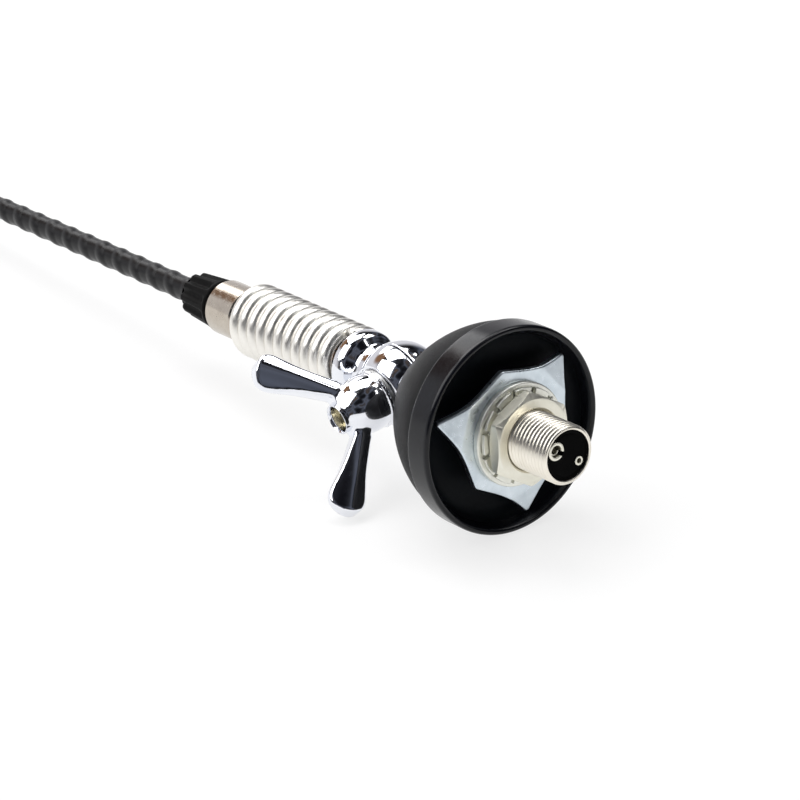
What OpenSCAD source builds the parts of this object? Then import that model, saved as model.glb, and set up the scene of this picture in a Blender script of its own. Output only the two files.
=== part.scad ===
// Short two-way-radio mast for a vehicle roof, in millimetres.
// Origin: centre of the threaded stud's free end. +Z runs up the mast.
// The wing nut of the tilt joint faces -Y.

/* [Roof stud and contacts] */
// outside diameter of the threaded stud
stud_d = 12; // [11:0.5:14]
// stud length that stands out below the roof plane
stud_len = 17; // [15:0.5:30]
// stud length moulded into the base above the roof plane
stud_embed = 12; // [11:0.5:14]
// bore of the stud that holds the insulator
stud_bore_d = 10.2; // [9.6:0.1:10.4]
// length of thread at the stud's end for the cable's plug
plug_len = 9.8; // [8:0.1:12]
// width of the relief groove between the plug's thread and the nut
relief_w = 0.6; // [0.3:0.1:1]
// depth of the relief groove
relief_depth = 0.4; // [0.2:0.1:0.5]
// how deep the insulator's face lies inside the stud
insulator_recess = 0.4; // [0.2:0.1:1.5]
// outside diameter of the split middle contact
live_d = 3.7; // [3.2:0.1:4]
// bore of the split middle contact
live_bore_d = 2.4; // [1.6:0.1:2.6]
// slit of the middle contact
live_slit = 0.8; // [0.4:0.1:1]
// distance of the middle contact from the stud's centre
live_offset = 3.1; // [2.8:0.1:3.2]
// outside diameter of the small contact
earth_d = 1.9; // [1.4:0.1:2.2]
// bore of the small contact
earth_bore_d = 1; // [0.6:0.1:1]
// distance of the small contact from the stud's centre
earth_offset = 3.3; // [3:0.1:3.6]
// depth of both contact sockets
socket_len = 6; // [4:0.5:8]
// diameter of the rod that leads up to the knuckle
feed_d = 2.4; // [1.6:0.1:3]

/* [Base] */
// diameter of the rubber band round the rim
rim_d = 42.2; // [40:0.2:60]
// height of the rubber band
band_h = 6; // [5:0.2:9]
// wall of the rubber band
band_wall = 1.8; // [1.2:0.1:2.6]
// thickness of the rubber web under the base
web_t = 1.5; // [1:0.1:2.5]
// largest diameter of the bell
bell_d = 40.8; // [39:0.2:58]
// height of the bell above the rubber band
bell_h = 19.8; // [18:0.2:26]
// diameter of the bell's flat top
bell_top_d = 16.6; // [14:0.2:19]
// wall of the bell
bell_wall = 2.4; // [1.6:0.1:3.2]
// diameter of the middle boss under the bell
boss_d = 18; // [17:0.2:21]
// height of the boss face above the roof plane
boss_lift = 0.5; // [0.2:0.1:2]

/* [Clamp] */
// gap between the three claw points and the rubber band
claw_gap = 0.8; // [0.3:0.1:3]
// radius of the three blunt corners between the claws
claw_corner_r = 13.4; // [12:0.1:14.5]
// radius where the claws bend
claw_root_r = 13.3; // [12:0.1:14]
// width of a claw where it bends
claw_w = 8.6; // [5:0.1:10]
// thickness of the claw washer
claw_t = 1.5; // [1:0.1:2.5]
// rise of the claw points
claw_rise = 1.9; // [0.5:0.1:2.4]
// diameter of the flat washer
washer_d = 21; // [19:0.5:23]
// thickness of the flat washer
washer_t = 1.4; // [1:0.1:2.5]
// diameter over the teeth of the lock washer
lock_d = 19.4; // [18:0.1:20]
// thickness of the lock washer
lock_t = 1; // [0.6:0.1:1.6]
// number of teeth of the lock washer
lock_teeth = 12; // [8:1:16]
// width across flats of the clamp nut
nut_af = 17; // [16:0.5:19]
// thickness of the clamp nut
nut_t = 3; // [2.5:0.1:6]

/* [Tilt joint] */
// gap between the base and the underside of the knuckle ball
ball_clear = 0.6; // [0.5:0.1:1.5]
// diameter of the knuckle ball
ball_d = 17.2; // [16.4:0.2:18]
// gap between the two halves of the ball
ball_slit = 0.3; // [0.2:0.05:0.6]
// distance from the mast's axis to the washer's seat
seat_y = 5.8; // [5:0.1:6.6]
// distance from the mast's axis to the flat behind the bolt head
back_y = 6.8; // [6:0.1:7.4]
// diameter of the knuckle's foot on the bell
foot_d = 13; // [12:0.2:14]
// height of the knuckle's foot
foot_h = 2.3; // [1.5:0.1:3]
// diameter of the shank in the bell
shank_d = 10; // [8:0.2:11]
// diameter of the pivot bolt
bolt_d = 5; // [4:0.5:6]
// width across flats of the pivot bolt's head
bolt_head_af = 8; // [7.5:0.5:9]
// thickness of the pivot bolt's head
bolt_head_t = 2.6; // [2:0.1:3.5]
// diameter of the washer under the wing nut
pivot_washer_d = 12.8; // [11:0.2:14]
// thickness of the washer under the wing nut
pivot_washer_t = 0.9; // [0.5:0.1:1.5]
// diameter of the wing nut's base
wing_base_d = 12.4; // [11:0.2:14]
// diameter of the wing nut's tip
wing_tip_d = 6.4; // [6.2:0.1:7.5]
// length of the wing nut's hub
wing_hub_len = 10.1; // [9:0.1:13]
// distance from the pivot axis to the end of a wing
wing_reach = 18.4; // [14:0.2:22]
// how far a wing leans out past the hub's base
wing_lean = 21.4; // [17:0.2:26]
// thickness of a wing along its ridge
wing_t = 4.4; // [3:0.1:5]
// thickness of a wing at its edges
wing_edge_t = 1.8; // [1:0.1:2.4]
// angle of the wings, from across the mast
wing_angle = 38; // [0:1:175]
// diameter of the neck above the ball
neck_d = 10.4; // [9:0.2:11]
// height of the spring's seat above the pivot
shoulder_h = 13.5; // [13:0.1:18]

/* [Spring] */
// outside diameter of the spring
spring_d = 15.6; // [14:0.2:18]
// diameter of the spring's wire
wire_d = 2.95; // [2.4:0.05:3.2]
// gap between two turns
turn_gap = 0.12; // [0.05:0.01:0.5]
// number of turns
turns = 11.5; // [8:0.5:14]
// length of the plug that fills each end of the spring
spigot_len = 6; // [4:0.5:8]
// clearance between a plug and the turns round it
spigot_clear = 0.2; // [0.1:0.05:0.4]
// diameter of the bonding braid inside the spring
braid_d = 2.6; // [1.5:0.1:4]

/* [Whip foot] */
// diameter of the collar above the spring
collar_d = 11.6; // [10.8:0.2:13]
// length of the collar above the spring
collar_len = 8.9; // [8:0.1:14]
// diameter of the whip's threaded end
whip_stud_d = 5; // [4:0.2:5.6]
// length of the whip's threaded end
whip_stud_len = 8; // [6:0.5:10]
// thickness of the rubber seal under the knob
seal_t = 0.6; // [0.4:0.1:1.5]
// diameter of the knob at the seal
knob_d = 10.8; // [10:0.2:13]
// diameter of the knob at the whip
knob_top_d = 9.2; // [8:0.2:10]
// length of the knob
knob_len = 10.4; // [8:0.2:16]
// number of flutes round the knob
flutes = 10; // [6:1:14]
// radius of a flute
flute_r = 1.3; // [0.8:0.1:1.5]
// outside diameter of the metal ferrule inside the knob
ferrule_d = 6; // [5.6:0.1:6.4]

/* [Whip] */
// free length of the whip above the knob
whip_len = 198; // [120:2:400]
// diameter of the whip at the knob
whip_d = 5.2; // [4.8:0.1:5.4]
// diameter of the whip at its tip
whip_tip_d = 4; // [3.6:0.1:4.6]
// wall of the shrunk sleeve
sleeve_wall = 0.45; // [0.3:0.05:0.5]
// height of the soft bumps of the sleeve
bump = 0.14; // [0.05:0.01:0.2]
// pitch of the winding
winding_pitch = 6.6; // [5:0.2:12]
// diameter of the winding's wire
winding_wire_d = 0.56; // [0.4:0.02:0.6]
// length of the end cap
cap_len = 8; // [5:0.5:14]
// wall of the end cap
cap_wall = 0.5; // [0.3:0.1:1]

/* [Hidden] */
// running clearance on a radius
run = 0.05;
// gap between flat faces of pieces that move apart
seat_gap = 0.05;
// loose fit of a washer on its stud, on a radius
loose = 0.3;
// clearance round the moving halves of the ball
swing = 0.35;
// angles of the two contacts round the stud
live_angle = -50;
earth_angle = 136;

// heights, from the stud's free end up
roof_z = stud_len;
stud_top = roof_z + stud_embed;
boss_z = roof_z + boss_lift;
bell_z = roof_z + band_h;
bell_top = bell_z + bell_h;
pivot_z = bell_top + ball_clear + ball_d / 2;
shank_z = stud_top + 2;
claw_z = boss_z - seat_gap - claw_t;
washer_z = claw_z - washer_t;
lock_z = washer_z - lock_t;
nut_z = lock_z - seat_gap - nut_t;
wing_y = seat_y + 2 * seat_gap + pivot_washer_t;
spring_z = pivot_z + shoulder_h;
pitch = wire_d + turn_gap;
spring_len = turns * pitch + wire_d;
collar_z = spring_z + spring_len;
collar_top = collar_z + collar_len;
knob_z = collar_top + 2 * seat_gap + seal_t;
knob_top = knob_z + knob_len;
whip_top = knob_top + whip_len;
spigot_r = spring_d / 2 - wire_d - spigot_clear;

// inside radius of the rubber band, and radius of the claw points
band_r = rim_d / 2 - band_wall - 0.3;
claw_tip_r = band_r - claw_gap;
// how far a cutting slab reaches past the part
beyond = max(rim_d, bell_d);

// radius of the bell at the share u of its height
function bell_r(u) = bell_top_d / 2
    + (bell_d - bell_top_d) / 2 * pow(max(1 - pow(u, 1.55), 0), 0.92);
// mean outside radius of the sleeve at height z
function whip_r(z) = whip_d / 2 + (whip_tip_d - whip_d) / 2 * (z - knob_top) / whip_len;
function winding_r(z) = whip_r(z) - bump - sleeve_wall - winding_wire_d / 2 - 0.02;
function rod_r(z) = winding_r(z) - winding_wire_d / 2 - 0.02;

// a round tube or ring
module ring(r_out, r_in, h) {
    difference() {
        cylinder(r = r_out, h = h, $fn = 64);
        translate([0, 0, -1]) cylinder(r = r_in, h = h + 2, $fn = 64);
    }
}

// a slab across Y from y0 to y1
module slab_y(y0, y1) {
    translate([-beyond, y0, pivot_z - beyond]) cube([2 * beyond, y1 - y0, 2 * beyond]);
}

// lays a piece that is drawn along +Z along -Y, through the pivot
module on_pivot(angle = 0) {
    translate([0, 0, pivot_z]) rotate([0, -angle, 0]) rotate([90, 0, 0]) children();
}

// a ball round the pivot
module ball(extra = 0) {
    translate([0, 0, pivot_z]) sphere(r = ball_d / 2 + extra, $fn = 96);
}

module stud_outline() {
    cylinder(r = stud_d / 2, h = stud_top, $fn = 64);
}

module base_bell() {
    n = 20;
    color([0.12, 0.12, 0.125]) difference() {
        rotate_extrude($fn = 96) polygon(concat(
            [[0, bell_z]],
            [for (i = [0:n]) [bell_r(i / n), bell_z + bell_h * i / n]],
            [[0, bell_top]]));
        // hollow between the wall and the boss
        difference() {
            rotate_extrude($fn = 96) polygon(concat(
                [[0, bell_z - 1], [bell_r(0) - bell_wall, bell_z - 1]],
                [for (i = [0:12]) [bell_r(i / n) - bell_wall, bell_z + bell_h * i / n]],
                [[0, bell_z + bell_h * 12 / n]]));
            translate([0, 0, bell_z - 2]) cylinder(d = boss_d, h = bell_h, $fn = 64);
        }
        stud_outline();
        translate([0, 0, shank_z]) cylinder(d = shank_d, h = bell_h, $fn = 64);
        feed_place() cylinder(d = feed_d, h = shank_z + 1, $fn = 32);
    }
    // boss that carries the stud and meets the claw washer
    color([0.12, 0.12, 0.125]) translate([0, 0, boss_z]) difference() {
        cylinder(d = boss_d, h = bell_z - boss_z, $fn = 64);
        translate([0, 0, -1]) cylinder(d = stud_d, h = bell_z - boss_z + 2, $fn = 64);
    }
}

module rim_gasket() {
    r = rim_d / 2;
    web_z = bell_z - web_t;
    color([0.02, 0.02, 0.022]) rotate_extrude($fn = 96) polygon([
        [r, roof_z + 0.5], [r - 0.35, roof_z], [r - band_wall, roof_z],
        [band_r, roof_z + 0.6], [band_r, web_z - 0.6],
        [band_r - 0.6, web_z], [boss_d / 2, web_z], [boss_d / 2, bell_z],
        [r - 0.3, bell_z], [r - 0.1, bell_z - 0.3]]);
}

module stud() {
    color([0.78, 0.74, 0.66]) difference() {
        union() {
            cylinder(r1 = stud_d / 2 - 0.45, r2 = stud_d / 2, h = 0.45, $fn = 64);
            translate([0, 0, 0.45]) cylinder(d = stud_d, h = stud_top - 0.45, $fn = 64);
        }
        translate([0, 0, -1]) cylinder(d = stud_bore_d, h = stud_top + 2, $fn = 64);
        // relief between the plug's thread and the nut
        translate([0, 0, plug_len]) ring(stud_d / 2 + 1, stud_d / 2 - relief_depth, relief_w);
    }
}

module feed_place() {
    rotate([0, 0, live_angle]) translate([live_offset, 0, 0]) children();
}

module earth_place() {
    rotate([0, 0, earth_angle]) translate([earth_offset, 0, 0]) children();
}

module earth_bar() {
    z = insulator_recess + socket_len;
    earth_place() translate([0, -0.5, z]) cube([stud_bore_d / 2 - earth_offset - 0.03, 1, 1.2]);
}

module stud_insulator() {
    z = insulator_recess;
    color([0.02, 0.02, 0.02]) difference() {
        translate([0, 0, z]) cylinder(d = stud_bore_d, h = stud_top - z, $fn = 64);
        feed_place() cylinder(d = live_d, h = z + socket_len + 2, $fn = 48);
        feed_place() cylinder(d = feed_d, h = stud_top + 1, $fn = 32);
        earth_place() cylinder(d = earth_d, h = z + socket_len + 1.2, $fn = 32);
        earth_bar();
    }
}

module live_contact() {
    z = insulator_recess - 0.1;
    color([0.8, 0.76, 0.68]) feed_place() translate([0, 0, z]) difference() {
        cylinder(d = live_d, h = socket_len + 2.1, $fn = 48);
        translate([0, 0, -1]) cylinder(d = live_bore_d, h = socket_len + 1, $fn = 48);
        translate([-live_d, -live_slit / 2, -1]) cube([live_d, live_slit, socket_len + 1]);
    }
}

module earth_contact() {
    z = insulator_recess;
    color([0.8, 0.76, 0.68]) {
        earth_place() translate([0, 0, z]) difference() {
            cylinder(d = earth_d, h = socket_len + 1.2, $fn = 32);
            translate([0, 0, -1]) cylinder(d = earth_bore_d, h = socket_len + 1, $fn = 32);
        }
        earth_bar();
    }
}

module feed_rod() {
    z = insulator_recess + socket_len + 2;
    color([0.72, 0.5, 0.2]) feed_place() translate([0, 0, z])
        cylinder(d = feed_d, h = shank_z - z, $fn = 32);
}

module lower_knuckle() {
    color([0.82, 0.83, 0.85]) difference() {
        union() {
            intersection() {
                ball();
                slab_y(ball_slit / 2, back_y);
            }
            // post from the foot up to the back half of the ball
            intersection() {
                translate([0, 0, bell_top]) cylinder(d = foot_d, h = pivot_z - bell_top, $fn = 64);
                slab_y(ball_slit / 2, back_y);
            }
            difference() {
                translate([0, 0, bell_top]) cylinder(d = foot_d, h = foot_h, $fn = 64);
                ball(swing);
            }
            translate([0, 0, shank_z]) cylinder(d = shank_d, h = bell_top - shank_z, $fn = 64);
        }
        bolt_outline();
    }
}

// head and shank of the bolt, seated in the back half of the ball
module bolt_outline() {
    on_pivot() translate([0, 0, -back_y]) rotate([0, 0, 30])
        cylinder(r = bolt_head_af / 2 / cos(30), h = bolt_head_t, $fn = 6);
    on_pivot() translate([0, 0, -back_y]) cylinder(d = bolt_d, h = back_y + 1, $fn = 48);
}

module pivot_bolt() {
    end = wing_y + wing_hub_len - 2.2;
    color([0.7, 0.66, 0.55]) {
        on_pivot() translate([0, 0, -back_y]) rotate([0, 0, 30])
            cylinder(r = bolt_head_af / 2 / cos(30), h = bolt_head_t, $fn = 6);
        on_pivot() translate([0, 0, -back_y + bolt_head_t - 0.01])
            cylinder(d = bolt_d, h = end + back_y - bolt_head_t - 0.5, $fn = 48);
        on_pivot() translate([0, 0, end - 0.51])
            cylinder(r1 = bolt_d / 2, r2 = bolt_d / 2 - 0.5, h = 0.5, $fn = 48);
    }
}

module pivot_washer() {
    color([0.7, 0.71, 0.73]) on_pivot() translate([0, 0, seat_y + seat_gap])
        ring(pivot_washer_d / 2, bolt_d / 2 + loose, pivot_washer_t);
}

module wing_nut() {
    rb = wing_base_d / 2;
    rt = wing_tip_d / 2;
    l = wing_hub_len;
    bore = bolt_d / 2 + run;
    // wing outline: across the hub, then along it from the hub's base
    q = wing_reach;
    w = wing_lean;
    // half thickness at the ridge and far out on the section's slopes
    hr = wing_t / 2;
    section_w = 0.36 * q;
    he = max(hr - (hr - wing_edge_t / 2) * section_w / (0.17 * q), 0.05);
    ridge_angle = atan2(0.77 * q, 0.59 * w);
    outline = [[rt - 0.5, 0.44 * l], [0.33 * q, 0.26 * w], [0.44 * q, 0.34 * w], [0.66 * q, 0.51 * w],
        [0.93 * q, 0.69 * w], [0.98 * q, 0.73 * w], [q, 0.79 * w], [0.97 * q, 0.87 * w],
        [0.86 * q, 0.97 * w], [0.78 * q, w], [0.71 * q, 0.99 * w], [0.62 * q, 0.93 * w],
        [0.42 * q, 0.68 * w], [0.22 * q, 0.46 * w], [rt - 0.5, 0.9 * l]];
    color([0.82, 0.83, 0.85]) on_pivot(wing_angle) translate([0, 0, wing_y]) difference() {
        union() {
            rotate_extrude($fn = 64) polygon([[0, 0], [rb - 0.2, 0], [rb, 0.2], [rb, 0.7],
                [rb - 0.3, 1], [rb - 0.25, 0.25 * l], [rb - 0.4, 0.42 * l], [rb - 0.85, 0.58 * l],
                [rb - 1.6, 0.73 * l], [rt + 0.6, 0.84 * l], [rt + 0.1, 0.9 * l], [rt, 0.95 * l],
                [rt - 0.15, l], [0, l]]);
            for (s = [0, 180]) rotate([0, 0, s]) intersection() {
                translate([0, wing_t / 2 + 1, 0]) rotate([90, 0, 0])
                    linear_extrude(wing_t + 2) polygon(outline);
                // lozenge section with its ridge along the wing's middle
                translate([0.16 * q, 0, 0.26 * w]) rotate([0, ridge_angle, 0]) translate([0, 0, -w])
                    linear_extrude(3 * w) polygon([[-section_w, -he], [-section_w, he], [0, hr],
                    [section_w, he], [section_w, -he], [0, -hr]]);
            }
        }
        translate([0, 0, -1]) cylinder(r = bore, h = l + 2, $fn = 48);
    }
}

module upper_knuckle() {
    nr = neck_d / 2;
    fr = spring_d / 2 - 0.1;
    base = pivot_z + ball_d / 2 - 2.4;
    h = spring_z - base;
    color([0.82, 0.83, 0.85]) difference() {
        union() {
            intersection() {
                ball();
                slab_y(-seat_y, -ball_slit / 2);
            }
            difference() {
                translate([0, 0, base]) rotate_extrude($fn = 64) polygon([[0, 0], [nr, 0],
                    [nr, h - 4.7], [nr + 0.25, h - 4.2], [fr - 1.2, h - 3.3], [fr - 0.4, h - 2.7],
                    [fr, h - 1.9], [fr, h - 0.2], [fr - 0.2, h], [0, h]]);
                intersection() {
                    ball(swing);
                    slab_y(-ball_slit / 2, beyond);
                }
                slab_y(-beyond, -seat_y);
            }
            translate([0, 0, base + h - 3]) rotate_extrude($fn = 64) polygon([[0, 0],
                [fr - 0.5, 0.2], [fr - 0.5, 2.8], [0, 2.8]]);
            translate([0, 0, spring_z - 1]) cylinder(r = spigot_r, h = spigot_len + 1, $fn = 64);
        }
        on_pivot() cylinder(r = bolt_d / 2 + run, h = 40, $fn = 48);
        translate([0, 0, spring_z + spigot_len - 4]) cylinder(d = braid_d, h = 5, $fn = 32);
    }
}

// points and faces of a wire that winds round Z
module wound_wire(z0, n_turns, step, r_fn, wire_r, sides, per_turn) {
    n = round(n_turns * per_turn);
    pts = [for (i = [0:n]) let (a = 360 * i / per_turn, z = z0 + step * i / per_turn, rr = r_fn(z))
        for (j = [0:sides - 1]) let (b = 360 * j / sides, r = rr + wire_r * cos(b))
            [r * cos(a), r * sin(a), z + wire_r * sin(b)]];
    body = [for (i = [0:n - 1]) for (j = [0:sides - 1]) let (k = (j + 1) % sides)
        each [[i * sides + j, i * sides + k, (i + 1) * sides + k],
            [i * sides + j, (i + 1) * sides + k, (i + 1) * sides + j]]];
    lid0 = [for (j = [0:sides - 1]) sides - 1 - j];
    lid1 = [for (j = [0:sides - 1]) n * sides + j];
    polyhedron(points = pts, faces = concat(body, [lid0], [lid1]), convexity = 10);
}

module spring() {
    fixed_r = function(z) spring_d / 2 - wire_d / 2;
    color([0.75, 0.73, 0.69])
        wound_wire(spring_z + wire_d / 2, turns, pitch, fixed_r, wire_d / 2, 10, 24);
}

module bonding_braid() {
    z0 = spring_z + spigot_len - 4;
    z1 = collar_z - spigot_len + 4;
    color([0.7, 0.45, 0.3]) translate([0, 0, z0]) cylinder(d = braid_d, h = z1 - z0, $fn = 32);
}

module collar() {
    r = collar_d / 2;
    color([0.78, 0.77, 0.75]) difference() {
        union() {
            translate([0, 0, collar_z]) rotate_extrude($fn = 64) polygon([[0, 0], [r - 0.3, 0],
                [r, 0.3], [r, collar_len - 0.5], [r - 0.5, collar_len], [0, collar_len]]);
            translate([0, 0, collar_z - spigot_len])
                cylinder(r = spigot_r, h = spigot_len + 1, $fn = 64);
        }
        translate([0, 0, collar_top - whip_stud_len - 0.5])
            cylinder(r = whip_stud_d / 2 + run, h = whip_stud_len + 2, $fn = 48);
        translate([0, 0, collar_z - spigot_len - 1]) cylinder(d = braid_d, h = 5, $fn = 32);
    }
}

module knob_seal() {
    color([0.05, 0.05, 0.05]) translate([0, 0, collar_top + seat_gap])
        ring(knob_d / 2 - 0.8, whip_stud_d / 2 + loose, seal_t);
}

module knob() {
    r0 = knob_d / 2;
    r1 = knob_top_d / 2;
    tilt = atan((r0 - r1) / knob_len);
    color([0.05, 0.05, 0.055]) translate([0, 0, knob_z]) difference() {
        rotate_extrude($fn = 96) polygon([[0, 0], [r0 - 0.4, 0], [r0, 0.4],
            [r1 + 0.1, knob_len - 0.8], [r1 - 0.7, knob_len], [0, knob_len]]);
        for (i = [0:flutes - 1]) rotate([0, 0, 360 * i / flutes])
            translate([r0 + flute_r * 0.5, 0, 1.2]) rotate([0, -tilt, 0])
            cylinder(r = flute_r, h = knob_len + 2, $fn = 32);
        translate([0, 0, -1]) cylinder(d = ferrule_d, h = knob_len - 0.5, $fn = 48);
        translate([0, 0, knob_len - 2]) cylinder(r = whip_r(knob_top), h = 4, $fn = 48);
    }
}

module ferrule() {
    color([0.7, 0.6, 0.35]) difference() {
        union() {
            translate([0, 0, collar_top - whip_stud_len])
                cylinder(d = whip_stud_d, h = whip_stud_len + 1, $fn = 48);
            translate([0, 0, knob_z]) cylinder(d = ferrule_d, h = knob_len - 1.5, $fn = 48);
        }
        translate([0, 0, knob_z + 1]) cylinder(r = rod_r(knob_top), h = knob_len, $fn = 48);
    }
}

module whip_rod() {
    z0 = knob_z + 1;
    z1 = whip_top - cap_wall - 0.6;
    color([0.75, 0.72, 0.6]) {
        translate([0, 0, z0]) cylinder(r = rod_r(knob_top), h = knob_top - z0 + 0.01, $fn = 48);
        translate([0, 0, knob_top]) cylinder(r1 = rod_r(knob_top), r2 = rod_r(z1), h = z1 - knob_top, $fn = 48);
    }
}

module whip_winding() {
    z0 = knob_top + 2;
    z1 = whip_top - cap_len - 2;
    r_at = function(z) winding_r(z);
    color([0.72, 0.45, 0.25]) wound_wire(z0, floor((z1 - z0) / winding_pitch), winding_pitch, r_at,
        winding_wire_d / 2, 6, 12);
}

module whip_sleeve() {
    z0 = knob_top - 1.4;
    z1 = whip_top - cap_wall - 0.6;
    n = 2 * floor((z1 - knob_top - 2) / winding_pitch);
    outer = [for (i = [0:n]) let (z = knob_top + 2 + winding_pitch * i / 2)
        [whip_r(z) + bump * (i % 2 == 0 ? -1 : 1), z]];
    wall = bump + sleeve_wall;
    color([0.04, 0.04, 0.045]) rotate_extrude($fn = 48) polygon(concat(
        [[whip_r(knob_top) - wall, z0], [whip_r(knob_top), z0], [whip_r(knob_top), knob_top]],
        outer,
        [[whip_r(z1) - bump, z1], [whip_r(z1) - wall, z1], [whip_r(knob_top) - wall, knob_top]]));
}

module whip_cap() {
    r0 = whip_r(whip_top - cap_len) + bump;
    color([0.03, 0.03, 0.03]) difference() {
        translate([0, 0, whip_top - cap_len]) rotate_extrude($fn = 48) polygon([[0, 0],
            [r0 + cap_wall - 0.2, 0], [r0 + cap_wall, 0.3], [r0 + cap_wall, cap_len - 1.2],
            [r0 + cap_wall - 0.3, cap_len - 0.5], [r0 - 0.4, cap_len], [0, cap_len]]);
        translate([0, 0, whip_top - cap_len - 1])
            cylinder(r = r0, h = cap_len + 0.5 - cap_wall, $fn = 48);
    }
}

// bent plate: the star's outline cut from a dished disc
module claw_washer() {
    a = asin(claw_w / 2 / claw_root_r);
    rr = claw_root_r * cos(a);
    far = claw_tip_r + 1;
    up = claw_rise * (far - rr) / (claw_tip_r - rr);
    half = 0.4 / claw_tip_r * 180 / PI;
    spots = [[0, claw_corner_r], [60 - a, claw_root_r], [60 - half, claw_tip_r],
        [60 + half, claw_tip_r], [60 + a, claw_root_r]];
    color([0.72, 0.75, 0.8]) translate([0, 0, claw_z]) difference() {
        intersection() {
            translate([0, 0, -1]) linear_extrude(claw_t + claw_rise + 2) polygon([for (k = [0:2])
                each [for (s = spots) s[1] * [cos(120 * k + s[0]), sin(120 * k + s[0])]]]);
            rotate_extrude($fn = 96) polygon([[0, 0], [rr + 0.6, 0], [far, up],
                [far, up + claw_t], [rr + 0.3, claw_t], [0, claw_t]]);
        }
        translate([0, 0, -1]) cylinder(r = stud_d / 2 + loose, h = claw_t + 2, $fn = 64);
    }
}

module flat_washer() {
    r = washer_d / 2;
    color([0.72, 0.74, 0.78]) translate([0, 0, washer_z]) difference() {
        rotate_extrude($fn = 64) polygon([[0, 0], [r - 0.25, 0], [r, 0.25], [r, washer_t - 0.2],
            [r - 0.2, washer_t], [0, washer_t]]);
        translate([0, 0, -1]) cylinder(r = stud_d / 2 + loose, h = washer_t + 2, $fn = 64);
    }
}

module lock_washer() {
    r = lock_d / 2;
    color([0.6, 0.6, 0.6]) translate([0, 0, lock_z]) difference() {
        ring(r, stud_d / 2 + loose, lock_t);
        for (i = [0:lock_teeth - 1]) rotate([0, 0, 360 * (i + 0.5) / lock_teeth])
            translate([r - 1.9, -PI * r / lock_teeth / 3, -1])
            cube([4, 2 * PI * r / lock_teeth / 3, lock_t + 2]);
    }
}

module clamp_nut() {
    corner = nut_af / 2 / cos(30);
    color([0.78, 0.76, 0.72]) translate([0, 0, nut_z]) difference() {
        intersection() {
            rotate([0, 0, 12]) cylinder(r = corner, h = nut_t, $fn = 6);
            rotate_extrude($fn = 64) polygon([[0, 0], [nut_af / 2 - 0.1, 0], [corner + 0.3, 0.7],
                [corner + 0.3, nut_t - 0.7], [nut_af / 2 - 0.1, nut_t], [0, nut_t]]);
        }
        translate([0, 0, -1]) cylinder(r = stud_d / 2 + run, h = nut_t + 2, $fn = 64);
        translate([0, 0, -0.01]) cylinder(r1 = stud_d / 2 + 0.6, r2 = stud_d / 2, h = 0.6, $fn = 64);
    }
}

base_bell();
rim_gasket();
stud();
stud_insulator();
live_contact();
earth_contact();
feed_rod();
lower_knuckle();
claw_washer();
flat_washer();
lock_washer();
clamp_nut();
pivot_bolt();
pivot_washer();
wing_nut();
upper_knuckle();
spring();
bonding_braid();
collar();
knob_seal();
knob();
ferrule();
whip_rod();
whip_winding();
whip_sleeve();
whip_cap();
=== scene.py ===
import math

import bpy
import numpy as np
from mathutils import Matrix, Vector


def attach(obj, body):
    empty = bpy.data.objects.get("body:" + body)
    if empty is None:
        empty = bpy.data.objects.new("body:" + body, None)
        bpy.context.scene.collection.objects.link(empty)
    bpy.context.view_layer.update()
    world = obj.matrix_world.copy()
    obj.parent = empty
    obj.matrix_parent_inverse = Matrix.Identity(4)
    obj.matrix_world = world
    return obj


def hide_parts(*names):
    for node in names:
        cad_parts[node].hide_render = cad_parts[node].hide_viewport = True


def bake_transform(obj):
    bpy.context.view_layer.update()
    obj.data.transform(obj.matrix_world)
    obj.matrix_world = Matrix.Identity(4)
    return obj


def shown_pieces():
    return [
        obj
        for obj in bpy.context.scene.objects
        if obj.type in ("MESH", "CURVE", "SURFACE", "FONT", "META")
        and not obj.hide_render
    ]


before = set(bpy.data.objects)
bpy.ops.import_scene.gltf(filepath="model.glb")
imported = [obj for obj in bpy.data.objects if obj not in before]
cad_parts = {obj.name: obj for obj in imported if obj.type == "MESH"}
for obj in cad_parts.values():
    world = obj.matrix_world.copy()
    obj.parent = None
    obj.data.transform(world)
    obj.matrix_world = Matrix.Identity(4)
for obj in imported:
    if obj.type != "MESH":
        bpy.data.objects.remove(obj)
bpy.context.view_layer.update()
MM = 0.001
TAU = 2 * math.pi

# sizes in millimetres, as in the part's source
ROOF_Z = 17.0
BOSS_Z = 17.5
BELL_Z = 23.0
BELL_TOP = 42.8
PIVOT_Z = 52.0
BALL_R = 8.6
SEAT_Y = 5.8
BACK_Y = 6.8
WING_Y = 6.8
SPRING_Z = 65.5
SPRING_R = 7.8
WIRE_R = 1.475
PITCH = 3.07
TURNS = 11.5
COLLAR_Z = SPRING_Z + TURNS * PITCH + 2 * WIRE_R
COLLAR_TOP = COLLAR_Z + 8.9
KNOB_Z = COLLAR_TOP + 0.7
KNOB_TOP = KNOB_Z + 10.4
WHIP_TOP = KNOB_TOP + 198.0
CLAW_Z = 15.95
WASHER_Z = 14.55
LOCK_Z = 13.55
NUT_Z = 10.5


# ---------- mesh helpers ----------

def make(name, verts, faces, sharp=35.0):
    """A smooth-shaded object from points in millimetres."""
    me = bpy.data.meshes.new(name)
    v = np.asarray(verts, float) * MM
    me.from_pydata(v.tolist(), [], [tuple(int(i) for i in f) for f in faces])
    me.validate()
    me.polygons.foreach_set("use_smooth", [True] * len(me.polygons))
    me.update()
    if sharp:
        me.set_sharp_from_angle(angle=math.radians(sharp))
    ob = bpy.data.objects.new(name, me)
    bpy.context.scene.collection.objects.link(ob)
    return ob


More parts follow.
